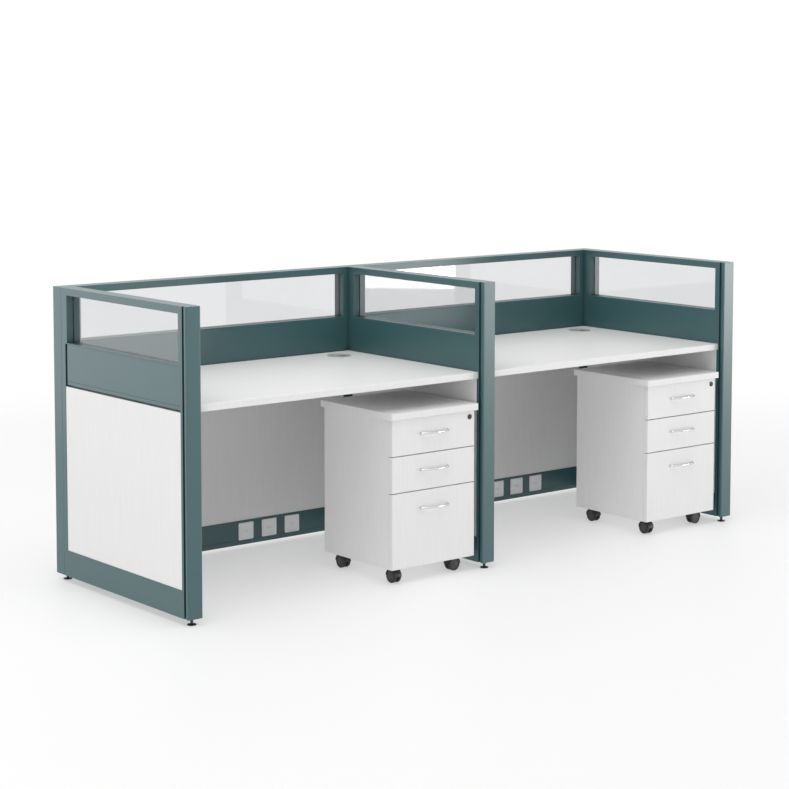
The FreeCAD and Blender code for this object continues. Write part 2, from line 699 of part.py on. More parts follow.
def caster_housing(name):
    """Stem, collar, hood, web and axle of a caster, its swivel at the origin."""
    half_width = "(web_thickness / 2 + wheel_gap + wheel_width)"
    room = "(hood_radius - hood_wall) * 2"
    depth = "(wheel_gap + wheel_width + overrun)"
    reach = "(hood_radius + caster_trail + overrun)"
    hood = across_rod(name + "_hood", "hood_radius * 2", f"0 - {half_width}", half_width)
    collar = rod(name + "_collar", "swivel_neck", "neck_top - wheel_radius",
                 z="wheel_radius")
    rooms = [
        across_rod(name + "_left_room", room, f"0 - web_thickness / 2 - {depth}",
                   "0 - web_thickness / 2"),
        across_rod(name + "_right_room", room, "web_thickness / 2",
                   f"web_thickness / 2 + {depth}"),
        box(name + "_below", span("0", f"{reach} * 2"), span("caster_trail", f"{reach} * 2"),
            (f"wheel_radius - {reach}", "wheel_radius")),
    ]
    shell = cut(name + "_shell", fuse(name + "_cover", [hood, collar]), rooms)
    web = across_rod(name + "_web", "web_diameter", "0 - web_thickness / 2",
                     "web_thickness / 2")
    axle = across_rod(name + "_axle", "axle", f"hub_recess - {half_width}",
                      f"{half_width} - hub_recess")
    stem = rod(name + "_stem", "swivel_stem", "shoulder_gap + stem_length", z="neck_top")
    return fuse(name, [shell, web, axle, stem])


def across_rod(name, diameter, low, high):
    """A cylinder about a caster's axle, between two places across it."""
    return rod(name, diameter, f"({high}) - ({low})", low, "caster_trail",
               "wheel_radius", ALONG_X)


def caster_wheels(name):
    """The twin wheels of a caster, with recessed hubs."""
    bore = "(axle + axle_play) / 2"
    tread = "wheel_radius - wheel_round"
    hub = "wheel_width - hub_recess"
    wheels = []
    for hand, out in HANDS:
        wheel = turned(f"{name}_{hand}", [
            (bore, "0"), (tread, "0"), ("wheel_radius", "wheel_round"),
            ("wheel_radius", "wheel_width - wheel_round"), (tread, "wheel_width"),
            ("hub_diameter / 2", "wheel_width"), ("hub_diameter / 2", hub), (bore, hub)])
        outward = FreeCAD.Rotation(FreeCAD.Vector(0, 1, 0), 90 * out)
        wheels.append(move(wheel, f"(web_thickness / 2 + wheel_gap) * ({out})",
                           "caster_trail", "wheel_radius", outward))
    return group(name, wheels)


def handle(name, x, z):
    """A bow handle of bent rod."""
    leg = "(handle_projection - handle_rod / 2 - handle_bend)"
    bar_y = "ped_front - handle_projection + handle_rod / 2"
    pieces = [rod(name + "_bar", "handle_rod", "handle_pitch - handle_bend * 2",
                  f"{x} - handle_pitch / 2 + handle_bend", bar_y, z, ALONG_X)]
    for hand, out in HANDS:
        foot_x = f"{x} + handle_pitch / 2 * ({out})"
        pieces.append(rod(f"{name}_{hand}_leg", "handle_rod", leg, foot_x,
                          f"ped_front - {leg}", z, ALONG_Y))
        elbow = doc.addObject("Part::Torus", f"{name}_{hand}_elbow")
        bind(elbow, "Radius1", "handle_bend")
        bind(elbow, "Radius2", "handle_rod / 2")
        elbow.Angle3 = 90
        turn = FreeCAD.Rotation(UP, 180 if out < 0 else 270)
        pieces.append(move(elbow, f"{foot_x} - handle_bend * ({out})",
                           f"{bar_y} + handle_bend", z, turn))
    node(fuse(name, pieces))


def drawer_box(name, x, low, height):
    """An open drawer box behind its front board."""
    outer = box(name + "_outer", span(x, "box_half * 2"), ("front_back", "box_back"),
                (low, f"{low} + {height}"))
    inner = box(name + "_inner", span(x, "(box_half - drawer_wall) * 2"),
                ("front_back + drawer_wall", "box_back - drawer_wall"),
                (f"{low} + drawer_floor", f"{low} + {height} + overrun"))
    node(cut(name, outer, [inner]))


def runners(name, x, low):
    """The pair of runners beside a drawer box, on the sides of the pedestal."""
    z = f"{low} + runner_lift"
    pair = []
    for hand, out in HANDS:
        across = layer(x, out, "cavity_half - runner_thickness", "cavity_half")
        pair.append(box(f"{name}_{hand}", across,
                        ("ped_face", "cavity_back - runner_rear_gap"),
                        (z, f"{z} + runner_height")))
    return pair


def lock(name, x):
    """A cam lock: rim, barrel and tail turned in one, with a cam and a keyway."""
    tail_end = "front_thickness + lock_tail_length"
    turning = turned(name + "_barrel", [
        ("0", "0 - lock_rim"), ("lock_flange / 2", "0 - lock_rim"), ("lock_flange / 2", "0"),
        ("lock_barrel / 2", "0"), ("lock_barrel / 2", "front_thickness"),
        ("lock_tail / 2", "front_thickness"), ("lock_tail / 2", tail_end), ("0", tail_end)])
    cam = box(name + "_cam", span("0", "cam_width"), ("0 - cam_width / 2", "cam_length"),
              (f"{tail_end} - cam_thickness", tail_end))
    keyway = box(name + "_keyway", span("0", "key_slot"), span("0", "key_slot_height"),
                 ("0 - lock_rim - overrun", "key_slot_depth"))
    made = cut(name, fuse(name + "_solid", [turning, cam]), [keyway])
    node(move(made, x, "ped_front", "upper_top - lock_drop", ALONG_Y))


def make_drawers(side, centre):
    """Three drawers with fronts, boxes, handles and runners, the upper one locking."""
    levels = [
        ("upper", "upper_top", "shallow_front", "shallow_box", "handle_drop"),
        ("middle", "middle_top", "shallow_front", "shallow_box", "handle_drop"),
        ("file", "file_top", "file_front", "file_box", "file_handle_drop"),
    ]
    lock_x = f"{centre} + ped_half - lock_side"
    rails_made = []
    for level, top, height, box_height, drop in levels:
        name = f"{side}_{level}_drawer"
        locking = level == "upper"
        low = f"{top} - {height}"
        front = board(name + "_blank" if locking else name + "_front",
                      span("0", "ped_width"), ("0", "front_thickness"), height,
                      "front_edge", front_face)
        move(front, centre, "ped_front", low)
        if locking:
            bore = rod(name + "_lock_bore", "lock_barrel + bore_play",
                       "front_thickness + overrun * 2", lock_x, "ped_front - overrun",
                       "upper_top - lock_drop", ALONG_Y)
            front = cut(name + "_front", front, [bore])
        node(front)
        drawer_box(name + "_box", centre, f"{low} + box_lift", box_height)
        handle(name + "_handle", centre, f"{top} - {drop}")
        rails_made += runners(name + "_runner", centre, f"{low} + box_lift")
    node(group(f"{side}_runner_rails", rails_made))
    lock(f"{side}_drawer_lock", lock_x)


def make_pedestal(side, centre):
    """A pedestal's board body and top, on four swivelling casters."""
    name = f"{side}_pedestal"
    shell = box(name + "_shell", span(centre, "ped_width"), ("ped_face", "ped_back"),
                ("ped_floor", "ped_top"))
    tools = [box(name + "_cavity", span(centre, "cavity_half * 2"),
                 ("ped_face - overrun", "cavity_back"),
                 ("ped_floor + carcass_board", "ped_top + overrun"))]
    rows = (("front", "ped_front + caster_front"), ("rear", "ped_back - caster_rear"))
    for depth, y in rows:
        for hand, out in HANDS:
            place = f"{depth}_{hand}"
            caster = f"{side}_{place}_caster"
            x = f"{centre} + (ped_half - caster_side) * ({out})"
            heading = FreeCAD.Rotation(UP, CASTER_HEADINGS[place])
            node(move(caster_housing(caster + "_housing"), x, y, "0", heading))
            node(move(caster_wheels(caster + "_wheels"), x, y, "0", heading))
            tools.append(rod(caster + "_bore", "swivel_stem + bore_play",
                             "stem_length + stem_end_gap + overrun", x, y,
                             "ped_floor - overrun"))
    node(cut(name + "_carcass", shell, tools))
    over = "ped_top_overhang"
    node(box(name + "_top", span(centre, f"(ped_width + {over} * 2)"),
             (f"ped_front - {over}", f"ped_back + {over}"),
             ("ped_top", "ped_top + ped_top_thickness")))


posts = []
trims = []
panes = []
boards = []
covers = []
sockets = []
feet = []
sleeves = []
brackets = []

make_side_partitions()
make_back_partitions()
make_desks()
for bay_side, bay_left in BAYS:
    make_pedestal(bay_side, f"{bay_left} + ped_x")
    make_drawers(bay_side, f"{bay_left} + ped_x")
for label, members in (
        ("back_posts", posts), ("front_trims", trims), ("glass_panes", panes),
        ("infill_panels", boards), ("wireway_covers", covers),
        ("socket_outlets", sockets), ("levelling_feet", feet),
        ("grommet_sleeves", sleeves), ("desk_brackets", brackets)):
    node(group(label, members))
doc.recompute()

for item in doc.Objects:
    if "Invalid" in item.State or "Error" in item.State:
        raise RuntimeError(f"{item.Label} did not build")
for item in nodes:
    if item.Shape.isNull() or not item.Shape.isValid():
        raise RuntimeError(f"{item.Label} has no sound shape")

os.makedirs("parts", exist_ok=True)
for item in nodes:
    item.Shape.exportStep(f"parts/{item.Label}.step")
print(len(nodes), "pieces written")
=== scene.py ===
import math

import bpy
from mathutils import Matrix, Vector


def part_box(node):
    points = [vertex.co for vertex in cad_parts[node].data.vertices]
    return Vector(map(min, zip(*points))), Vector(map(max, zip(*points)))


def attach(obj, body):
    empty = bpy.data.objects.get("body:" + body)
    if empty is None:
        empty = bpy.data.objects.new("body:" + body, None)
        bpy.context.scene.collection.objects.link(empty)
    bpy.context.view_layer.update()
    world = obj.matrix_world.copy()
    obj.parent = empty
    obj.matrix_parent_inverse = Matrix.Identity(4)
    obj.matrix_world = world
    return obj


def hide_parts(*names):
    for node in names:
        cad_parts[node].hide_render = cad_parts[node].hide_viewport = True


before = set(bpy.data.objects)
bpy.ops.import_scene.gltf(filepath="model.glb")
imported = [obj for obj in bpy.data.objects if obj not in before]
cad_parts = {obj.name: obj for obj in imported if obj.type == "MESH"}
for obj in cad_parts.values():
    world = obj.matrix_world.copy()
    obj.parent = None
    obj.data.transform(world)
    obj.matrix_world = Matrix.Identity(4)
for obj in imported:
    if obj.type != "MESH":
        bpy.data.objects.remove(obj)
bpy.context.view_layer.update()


# Partition frames, corner posts, front trims and wireway covers.
# Folded and welded sheet steel, sprayed with teal polyester powder and baked. It gives
# a satin sheen, a faint orange peel and slightly rubbed edges; painted shade darkens the
# joints.
MM = 0.001
COAT_DEEP = "#35585b"
COAT_PALE = "#3b5f62"
COAT_RUB = "#56797b"
COAT_PAINTED_SHADE = "#13282b"
COAT_SHADE_REACH = 30 * MM         # how near another face has to be for a joint to get painted shade
COAT_CLOUD = 420 * MM        # how far apart the thicker and thinner passes of powder lie
COAT_PEEL = 5 * MM           # real orange peel is about 1 mm; drawn coarser so that it shows
COAT_EDGE = 1.2 * MM         # powder draws back to about this radius on an edge
EDGE_SAMPLES = 4
JOINT_SAMPLES = 8
MIX_FIRST, MIX_SECOND, MIX_RESULT = 6, 7, 2     # colour sockets of a Mix node


def linear(colour):
    """An sRGB hex colour as linear RGBA."""
    parts = [int(colour[place:place + 2], 16) / 255 for place in (1, 3, 5)]
    return (*[part / 12.92 if part <= 0.04045 else ((part + 0.055) / 1.055) ** 2.4
              for part in parts], 1)


def add(tree, kind, links=None, values=None, **settings):
    """Add a node to a tree with its settings, its constants and its incoming links."""
    made = tree.nodes.new("ShaderNode" + kind)
    for name, value in settings.items():
        setattr(made, name, value)
    for socket, value in (values or {}).items():
        made.inputs[socket].default_value = value
    for socket, source in (links or {}).items():
        tree.links.new(source, made.inputs[socket])
    return made


def start_material(name):
    """A new material, its tree, and where a point lies in its object, in metres."""
    made = bpy.data.materials.new(name)
    made.use_nodes = True
    made.node_tree.nodes.clear()
    return made, made.node_tree, add(made.node_tree, "TexCoord").outputs["Object"]


def noise(tree, where, pitch, detail):
    """A soft noise whose patches lie a real distance apart."""
    return add(tree, "TexNoise", {"Vector": where},
               {"Scale": 1 / pitch, "Detail": detail}).outputs["Fac"]


def spread(tree, value, low, high, start=0.0, end=1.0):
    """A value that runs from low to high while another runs from start to end."""
    return add(tree, "MapRange", {"Value": value},
               {"From Min": start, "From Max": end, "To Min": low, "To Max": high}
               ).outputs["Result"]


def between(tree, share, first, second):
    """A colour between two others, each a hex colour or a socket that gives one."""
    links, values = {"Factor": share}, {}
    for socket, colour in ((MIX_FIRST, first), (MIX_SECOND, second)):
        if isinstance(colour, str):
            values[socket] = linear(colour)
        else:
            links[socket] = colour
    return add(tree, "Mix", links, values, data_type="RGBA").outputs[MIX_RESULT]


def soft_edge(tree, radius):
    """The normal of a surface whose sharp edges are rounded to a radius."""
    return add(tree, "Bevel", values={"Radius": radius}, samples=EDGE_SAMPLES).outputs[0]


def relief(tree, height, strength, depth, normal=None):
    """The normal of a surface with a fine relief on it."""
    links = {"Height": height, "Normal": normal} if normal else {"Height": height}
    return add(tree, "Bump", links, {"Strength": strength, "Distance": depth}).outputs[0]


def end_material(tree, links, values=None):
    """Close a tree with one principled shader as its surface."""
    shader = add(tree, "BsdfPrincipled", links, values)
    add(tree, "OutputMaterial", {"Surface": shader.outputs[0]})


def coat(material, *names):
    """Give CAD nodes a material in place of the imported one."""
    for name in names:
        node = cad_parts[name]
        node.data.materials.clear()
        node.data.materials.append(material)


powder_coat, tree, where = start_material("powder_coated_steel")
colour = between(tree, noise(tree, where, COAT_CLOUD, 3.0), COAT_DEEP, COAT_PALE)
edge = soft_edge(tree, COAT_EDGE)
flat = add(tree, "NewGeometry").outputs["Normal"]
turn = add(tree, "VectorMath", {0: edge, 1: flat}, operation="DOT_PRODUCT")
rubbed = spread(tree, turn.outputs["Value"], 0.0, 0.55, start=0.98, end=0.80)
worn = between(tree, rubbed, colour, COAT_RUB)
# Painted shade: the colour darkens towards a near-black teal in joints, recesses and corners,
# wherever other faces come near.
joint = add(tree, "AmbientOcclusion", values={"Distance": COAT_SHADE_REACH}, samples=JOINT_SAMPLES)
unshaded_share = spread(tree, joint.outputs["AO"], 0.15, 1.0, start=0.25, end=0.70)
shade_painted_coat = between(tree, unshaded_share, COAT_PAINTED_SHADE, worn)
peel = noise(tree, where, COAT_PEEL, 2.0)
end_material(tree, {"Base Color": shade_painted_coat,
                    "Normal": relief(tree, peel, 0.12, 0.3 * MM, edge),
                    "Roughness": spread(tree, peel, 0.28, 0.35)}, {"IOR": 1.6})
coat(powder_coat, "left_side_frame", "middle_side_frame", "right_side_frame",
     "back_frame_left", "back_frame_right", "back_posts", "front_trims", "wireway_covers")


# Window panes above the desks.
# 6 mm float glass with a pale neutral tint, cut and slid into the frames. The floated
# faces are almost optically flat, so it mirrors the studio and shows what is behind.
GLASS_TINT = "#e8e9ea"
GLASS_DEEP = "#e4e5e6"
GLASS_CLOUD = 300 * MM       # how far apart the slightly deeper bands of tint lie

float_glass, tree, where = start_material("tinted_float_glass")
colour = between(tree, noise(tree, where, GLASS_CLOUD, 2.0), GLASS_DEEP, GLASS_TINT)
end_material(tree, {"Base Color": colour},
             {"Roughness": 0.02, "IOR": 1.52, "Transmission Weight": 1.0})
coat(float_glass, "glass_panes")


# Infill boards, worktops and the boards of the pedestals.
# Chipboard faced with white melamine paper under a fine wood-grained press plate, edged
# with matching band. It gives a satin white with a faint upright grain.
MELAMINE = "#ebebeb"
MELAMINE_WARM = "#e7e7e6"
MELAMINE_GRAIN = 5 * MM      # how far apart the strands of the grain lie
GRAIN_STRETCH = 0.03         # the strands are about 30 times as long as they are wide
PEARL = 2.5 * MM             # the real pores are about 0.4 mm; drawn coarser to show
SMALL_EDGE = 0.8 * MM        # rounding of a banded or a moulded edge
SIDES = ("left", "right")
LEVELS = ("upper", "middle", "file")


def stretched(tree, where, scale):
    """Where a point lies, with each axis scaled, so that a pattern runs along one."""
    return add(tree, "Mapping", {"Vector": where}, {"Scale": scale}).outputs[0]


melamine, tree, where = start_material("melamine_faced_board")
along = stretched(tree, where, (1, 1, GRAIN_STRETCH))
strands = noise(tree, along, MELAMINE_GRAIN, 3.0)
streaks = spread(tree, strands, 0.0, 1.0, start=0.32, end=0.68)
colour = between(tree, streaks, MELAMINE_WARM, MELAMINE)
pearl = noise(tree, where, PEARL, 2.0)
edge = soft_edge(tree, SMALL_EDGE)
end_material(tree, {"Base Color": colour,
                    "Normal": relief(tree, pearl, 0.06, 0.2 * MM, edge),
                    "Roughness": spread(tree, pearl, 0.38, 0.48)})
coat(melamine, "infill_panels", "left_worktop", "right_worktop")
for side in SIDES:
    coat(melamine, f"{side}_pedestal_carcass", f"{side}_pedestal_top",
         *[f"{side}_{level}_drawer_front" for level in LEVELS])


# Drawer boxes behind the fronts.
# Pale grey melamine board, cut and grooved, with a straight printed ash grain that runs
# front to back along the sides.
BOX_GREY = "#d2d1cc"
BOX_GRAIN = "#c6c5bf"
ASH_GRAIN = 6 * MM
ASH_STRETCH = 0.06

box_board, tree, where = start_material("grey_melamine_drawer_board")
grain = noise(tree, stretched(tree, where, (1, ASH_STRETCH, 1)), ASH_GRAIN, 3.0)
end_material(tree, {"Base Color": between(tree, grain, BOX_GRAIN, BOX_GREY),
                    "Normal": relief(tree, grain, 0.08, 0.2 * MM)}, {"Roughness": 0.48})
for side in SIDES:
    coat(box_board, *[f"{side}_{level}_drawer_box" for level in LEVELS])


# Desk brackets and drawer runners.
# Pressed sheet steel, zinc plated and blue passivated, so that it looks pale and cool
# with the blotchy spangle of the bath and fine scratches along the runners.
ZINC_PALE = "#c9cdcf"
ZINC_DARK = "#a4aaad"
ZINC_SPANGLE = 9 * MM
SCRATCH = MM
SCRATCH_STRETCH = 0.03

zinc, tree, where = start_material("zinc_plated_steel")
spangle = add(tree, "TexVoronoi", {"Vector": where}, {"Scale": 1 / ZINC_SPANGLE})
colour = between(tree, spangle.outputs["Distance"], ZINC_PALE, ZINC_DARK)
scratch = noise(tree, stretched(tree, where, (1, SCRATCH_STRETCH, 1)), SCRATCH, 2.0)
end_material(tree, {"Base Color": colour, "Roughness": spread(tree, scratch, 0.28, 0.5)},
             {"Metallic": 1.0})
coat(zinc, "desk_brackets", "left_runner_rails", "right_runner_rails")


# Drawer handles, one bow on each front.
# 8 mm steel rod, bent to a bow on two flared feet, polished and chromed.
# Screws through the front hold it from inside the drawer.
CHROME = "#dfe1e3"
CHROME_DULL = "#cfd2d5"
CHROME_HAZE = 14 * MM
ROD = 8 * MM
FLARE = 11.5 * MM            # diameter where a foot meets the front
FLARE_RIM = 0.8 * MM         # the straight rim of a foot
FLARE_LENGTH = 4 * MM
HANDLE_BEND = 8 * MM
BOW_ANGLE = math.radians(24) # how far the bar still points outwards after its bend
BEND_STEPS = 10
BOW_STEPS = 24
ROD_SIDES = 24
WELD = 0.01 * MM             # points closer than this are one
SMOOTH = math.radians(35)
ALONG_X = (0, math.pi / 2, 0)          # turns that lay an upright shape along an axis
ALONG_Y = (math.pi / 2, 0, 0)
UPRIGHT = (0, 0, 0)


def select_only(piece):
    """Leave nothing selected but one piece, and make it active."""
    bpy.ops.object.select_all(action="DESELECT")
    piece.select_set(True)
    bpy.context.view_layer.objects.active = piece


def opened():
    """The shape just added, with its place put into its mesh, open for editing."""
    piece = bpy.context.object
    bpy.ops.object.transform_apply(location=True, rotation=True, scale=True)
    bpy.ops.object.mode_set(mode="EDIT")
    return piece


def extrude(*along):
    """Extrude what is selected, by a distance along each axis."""
    bpy.ops.mesh.extrude_region_move(TRANSFORM_OT_translate={"value": along})


def pick_faces(piece, wanted):
    """In edit mode, select only the faces that a test of their centre and normal takes."""
    bpy.ops.mesh.select_mode(type="FACE")
    bpy.ops.mesh.select_all(action="DESELECT")
    bpy.ops.object.mode_set(mode="OBJECT")
    for face in piece.data.polygons:
        face.select = wanted(face.center, face.normal)
    bpy.ops.object.mode_set(mode="EDIT")


def settle(piece, name, material):
    """Name a finished piece, put its place into its mesh, and give it its finish."""
    select_only(piece)
    bpy.ops.object.transform_apply(location=True, rotation=True, scale=True)
    bpy.ops.object.shade_smooth_by_angle(angle=SMOOTH)
    piece.name = name
    piece.data.name = name
    piece.data.materials.clear()
    piece.data.materials.append(material)
    return piece


def copied(piece, name, shift, turn=0.0, centre=(0, 0, 0)):
    """A copy with a mesh of its own, turned about an upright line and shifted in its mesh."""
    twin = piece.copy()
    twin.data = piece.data.copy()
    twin.name = name
    twin.data.name = name
    centre = Vector(centre)
    spun = (Matrix.Translation(centre) @ Matrix.Rotation(turn, 4, "Z")
            @ Matrix.Translation(-centre))
    twin.data.transform(Matrix.Translation(Vector(shift)) @ spun)
    bpy.context.collection.objects.link(twin)
    return twin


chrome, tree, where = start_material("chromed_steel")
haze = noise(tree, where, CHROME_HAZE, 3.0)
end_material(tree, {"Base Color": between(tree, haze, CHROME_DULL, CHROME),
                    "Roughness": spread(tree, haze, 0.05, 0.14)}, {"Metallic": 1.0})

first_low, first_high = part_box("left_upper_drawer_handle")
front_face = first_high.y
handle_z = (first_low.z + first_high.z) / 2
left_foot = first_low.x + ROD / 2
right_foot = first_high.x - ROD / 2
reach = (right_foot - left_foot) / 2
out = front_face - first_low.y - ROD / 2
bow_radius = (reach - HANDLE_BEND * (1 - math.sin(BOW_ANGLE))) / math.sin(BOW_ANGLE)
bow_rise = bow_radius * (1 - math.cos(BOW_ANGLE))
bow_middle = (left_foot + reach, front_face - out + bow_radius, handle_z)
bend_angle = math.pi / 2 - BOW_ANGLE
leg = out - HANDLE_BEND * math.cos(BOW_ANGLE) - bow_rise
leg_end = front_face - leg
slim = ROD / FLARE

bpy.ops.mesh.primitive_circle_add(vertices=ROD_SIDES, radius=FLARE / 2, fill_type="NGON",
                                  location=(left_foot, front_face, handle_z),
                                  rotation=ALONG_Y)
handle = opened()
bpy.ops.mesh.select_all(action="SELECT")
extrude(0, -FLARE_RIM, 0)
extrude(0, FLARE_RIM - FLARE_LENGTH, 0)
bpy.ops.transform.resize(value=(slim, 1, slim),
                         center_override=(left_foot, front_face - FLARE_LENGTH, handle_z))
extrude(0, FLARE_LENGTH - leg, 0)
for steps, turn, centre in (
        (BEND_STEPS, bend_angle, (left_foot + HANDLE_BEND, leg_end, handle_z)),
        (BOW_STEPS, 2 * BOW_ANGLE, bow_middle),
        (BEND_STEPS, bend_angle, (right_foot - HANDLE_BEND, leg_end, handle_z))):
    bpy.ops.mesh.spin(steps=steps, angle=-turn, axis=(0, 0, 1), center=centre)
extrude(0, leg - FLARE_LENGTH, 0)
extrude(0, FLARE_LENGTH - FLARE_RIM, 0)
bpy.ops.transform.resize(value=(1 / slim, 1, 1 / slim),
                         center_override=(right_foot, front_face - FLARE_RIM, handle_z))
extrude(0, FLARE_RIM, 0)
bpy.ops.mesh.select_all(action="SELECT")
bpy.ops.mesh.remove_doubles(threshold=WELD)
bpy.ops.mesh.normals_make_consistent(inside=False)
bpy.ops.object.mode_set(mode="OBJECT")
handle = settle(handle, "left_upper_handle_bow", chrome)
handles = {("left", "upper"): handle}
for side in SIDES:
    for level in LEVELS:
        if (side, level) not in handles:
            low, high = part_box(f"{side}_{level}_drawer_handle")
            handles[side, level] = copied(handle, f"{side}_{level}_handle_bow", low - first_low)
for (side, level), piece in handles.items():
    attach(piece, f"{side}_{level}_drawer")
    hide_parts(f"{side}_{level}_drawer_handle")


# Drawer locks, at the top right of each pedestal.
# A die-cast cam lock, blackened, with a keyway, a barrel and a cam on its tail; a nut
# would hold it behind the front.
LOCK_BLACK = "#242526"
LOCK_WORN = "#3c3d3e"
LOCK_RUB = 5 * MM
LOCK_RIM = 10 * MM           # radius of the rim, whose top is the top of the lock
RIM_THICK = 1.5 * MM
RIM_BAND = 2.4 * MM          # flat ring of the rim round the dished face
DISH = 0.7 * MM
PLUG_GAP = 0.7 * MM
PLUG_RISE = 0.4 * MM
BARREL = 16 * MM
BARREL_LENGTH = 18 * MM
TAIL = 11 * MM
TAIL_LENGTH = 6 * MM
CAM_THICK = 2 * MM
CAM_WIDTH = 9 * MM
CAM_LENGTH = 13 * MM
KEY_SLOT = (1.4 * MM, 7 * MM, 7 * MM)
ROUND_STEPS = 48
SQUARE_ON = 0.9              # how much of an axis a normal has, for a face that looks along it


def add_cylinder(radius, depth, centre, lie=UPRIGHT, steps=ROUND_STEPS, ends="NGON"):
    """Add a cylinder, alone selected, as a new piece or into the mesh being edited."""
    bpy.ops.mesh.primitive_cylinder_add(vertices=steps, radius=radius, depth=depth,
                                        end_fill_type=ends, location=centre, rotation=lie)


def rounded(piece, width, segments=2):
    """Round every sharp edge of a piece, as moulding or casting does."""
    select_only(piece)
    soft = piece.modifiers.new("soft_edges", "BEVEL")
    soft.width = width
    soft.segments = segments
    soft.limit_method = "ANGLE"
    soft.angle_limit = SMOOTH
    bpy.ops.object.modifier_apply(modifier=soft.name)


def pierced(piece, centre, size):
    """Cut a box, given by its centre and its size, out of a piece."""
    bpy.ops.mesh.primitive_cube_add(size=1, location=centre, scale=size)
    cutter = bpy.context.object
    bpy.ops.object.transform_apply(location=True, rotation=True, scale=True)
    select_only(piece)
    slot = piece.modifiers.new("slot", "BOOLEAN")
    slot.operation = "DIFFERENCE"
    slot.object = cutter
    bpy.ops.object.modifier_apply(modifier=slot.name)
    bpy.data.objects.remove(cutter)


blackened, tree, where = start_material("blackened_zinc_casting")
rub = noise(tree, where, LOCK_RUB, 3.0)
end_material(tree, {"Base Color": between(tree, rub, LOCK_BLACK, LOCK_WORN),
                    "Roughness": spread(tree, rub, 0.3, 0.45)}, {"Metallic": 0.4})

low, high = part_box("left_drawer_lock")
lock_first = low.copy()
lock_x = (low.x + high.x) / 2
lock_z = high.z - LOCK_RIM
cam_z = lock_z + (CAM_WIDTH / 2 - CAM_LENGTH) / 2
add_cylinder(LOCK_RIM, RIM_THICK, (lock_x, low.y + RIM_THICK / 2, lock_z), ALONG_Y)
lock = opened()
pick_faces(lock, lambda centre, normal: normal.y < -SQUARE_ON)
bpy.ops.mesh.inset(thickness=RIM_BAND)
extrude(0, DISH, 0)
bpy.ops.mesh.inset(thickness=PLUG_GAP)
extrude(0, -PLUG_RISE, 0)
pick_faces(lock, lambda centre, normal: normal.y > SQUARE_ON)
bpy.ops.mesh.inset(thickness=LOCK_RIM - BARREL / 2)
extrude(0, BARREL_LENGTH, 0)
bpy.ops.mesh.inset(thickness=(BARREL - TAIL) / 2)
extrude(0, TAIL_LENGTH, 0)
bpy.ops.object.mode_set(mode="OBJECT")
pierced(lock, (lock_x, low.y + KEY_SLOT[1] / 2, lock_z), KEY_SLOT)
bpy.ops.object.mode_set(mode="EDIT")
bpy.ops.mesh.primitive_cube_add(size=1, location=(lock_x, high.y - CAM_THICK / 2, cam_z),
                                scale=(CAM_WIDTH, CAM_THICK, CAM_LENGTH + CAM_WIDTH / 2))
bpy.ops.object.mode_set(mode="OBJECT")
rounded(lock, 0.25 * MM)
lock = settle(lock, "left_lock_cylinder", blackened)
locks = {"left": lock,
         "right": copied(lock, "right_lock_cylinder",
                         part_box("right_drawer_lock")[0] - lock_first)}
for side in SIDES:
    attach(locks[side], f"{side}_drawer_lock")
    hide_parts(f"{side}_drawer_lock")


# Cable grommets in the worktops: a sleeve with a flange, and the cap that turns in it.
# Moulded in grey ABS with a fine spark-eroded texture; the sleeve is pressed into the
# hole, and the cap drops in and turns by hand.
ABS_GREY = "#b4b7b7"
ABS_DARK = "#a6a9a9"
SPARK = 1.5 * MM             # the real texture is about 0.1 mm; drawn coarser to show
FLANGE = 2.5 * MM            # thickness of the flange that lies on the worktop
FLANGE_SLOPE = 1.2 * MM      # width of the ring between the flange's top and the cap
SLEEVE_LENGTH = 22 * MM
SLEEVE_WALL = 2.5 * MM
CAP_LEDGE = 3 * MM
CAP_THICK = 3 * MM
CAP_RIM = 2.5 * MM
CAP_DISH = 0.6 * MM
CAP_EASE = 0.08 * MM
CABLE_SLOT = 34 * MM         # width of the slot, and its depth from the cap's edge
SLOT_PAST = 2 * MM           # how far its cutter stands out past the edge
FINE_STEPS = 96

grey_abs, tree, where = start_material("moulded_grey_abs")
spark = noise(tree, where, SPARK, 4.0)
end_material(tree, {"Base Color": between(tree, spark, ABS_DARK, ABS_GREY),
                    "Normal": relief(tree, spark, 0.1, 0.1 * MM)}, {"Roughness": 0.42})

cap_low, cap_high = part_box("left_grommet_cap")
cap_radius = (cap_high.x - cap_low.x) / 2
bore_radius = cap_radius + CAP_EASE
low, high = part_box("grommet_sleeves")
hole_x = (cap_low.x + cap_high.x) / 2
hole_y = (low.y + high.y) / 2
flange_radius = (high.y - low.y) / 2
desk_top = high.z - FLANGE
ledge_top = high.z - CAP_THICK
add_cylinder(flange_radius, FLANGE, (hole_x, hole_y, high.z - FLANGE / 2), steps=FINE_STEPS)
sleeve = opened()
pick_faces(sleeve, lambda centre, normal: normal.z > SQUARE_ON)
bpy.ops.mesh.inset(thickness=flange_radius - bore_radius - FLANGE_SLOPE)
bpy.ops.mesh.inset(thickness=FLANGE_SLOPE)
extrude(0, 0, -CAP_THICK)
bpy.ops.mesh.inset(thickness=bore_radius - cap_radius + CAP_LEDGE)
extrude(0, 0, low.z - ledge_top)
bpy.ops.mesh.delete(type="FACE")
pick_faces(sleeve, lambda centre, normal: normal.z < -SQUARE_ON and centre.z > desk_top - MM)
bpy.ops.mesh.inset(thickness=flange_radius - bore_radius - SLEEVE_WALL)
extrude(0, 0, -SLEEVE_LENGTH)
bpy.ops.mesh.delete(type="FACE")
bpy.ops.mesh.select_mode(type="EDGE")
bpy.ops.mesh.select_all(action="DESELECT")
bpy.ops.mesh.select_non_manifold(extend=False, use_boundary=True, use_wire=False,
                                 use_multi_face=False, use_non_contiguous=False,
                                 use_verts=False)
bpy.ops.mesh.bridge_edge_loops()
bpy.ops.mesh.select_all(action="SELECT")
bpy.ops.mesh.normals_make_consistent(inside=False)
bpy.ops.object.mode_set(mode="OBJECT")
rounded(sleeve, 0.7 * MM, 3)
